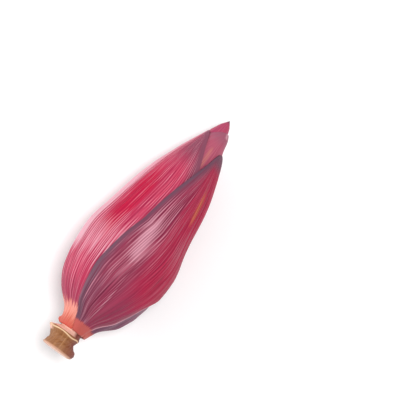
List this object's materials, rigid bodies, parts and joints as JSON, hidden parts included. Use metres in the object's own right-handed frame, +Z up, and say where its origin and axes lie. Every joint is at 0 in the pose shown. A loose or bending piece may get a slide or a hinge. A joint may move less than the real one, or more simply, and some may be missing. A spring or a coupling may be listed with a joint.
{
  "type": "banana blossom",
  "caption": "Closed banana blossom, cut from its stalk and lying on its side: a pointed bud of overlapping ribbed crimson bracts on a short cut stub.",
  "frame": {"origin": "middle of the bud's outline on the surface that it lies on", "axes": "+X along the bud towards its pointed tip, +Z up"},
  "size_m": [0.2402, 0.087, 0.0846],
  "materials": {
    "stalk": "fibrous cut plant stalk, matte, pale at the cut",
    "bud_tip": "young waxy bract, satin",
    "inner_bract": "young waxy bract, satin, pink",
    "under_bract": "leathery ribbed bract, satin, mauve",
    "crimson_bract": "leathery ribbed bract, satin, crimson",
    "plum_bract": "leathery ribbed bract, satin, plum with a mauve margin"
  },
  "bodies": {
    "root": {"peduncle": "stalk", "bud_core": "bud_tip", "bract_inner": "inner_bract", "bract_under": "under_bract", "bract_left": "crimson_bract", "bract_right": "plum_bract"}
  },
  "joints": []
}
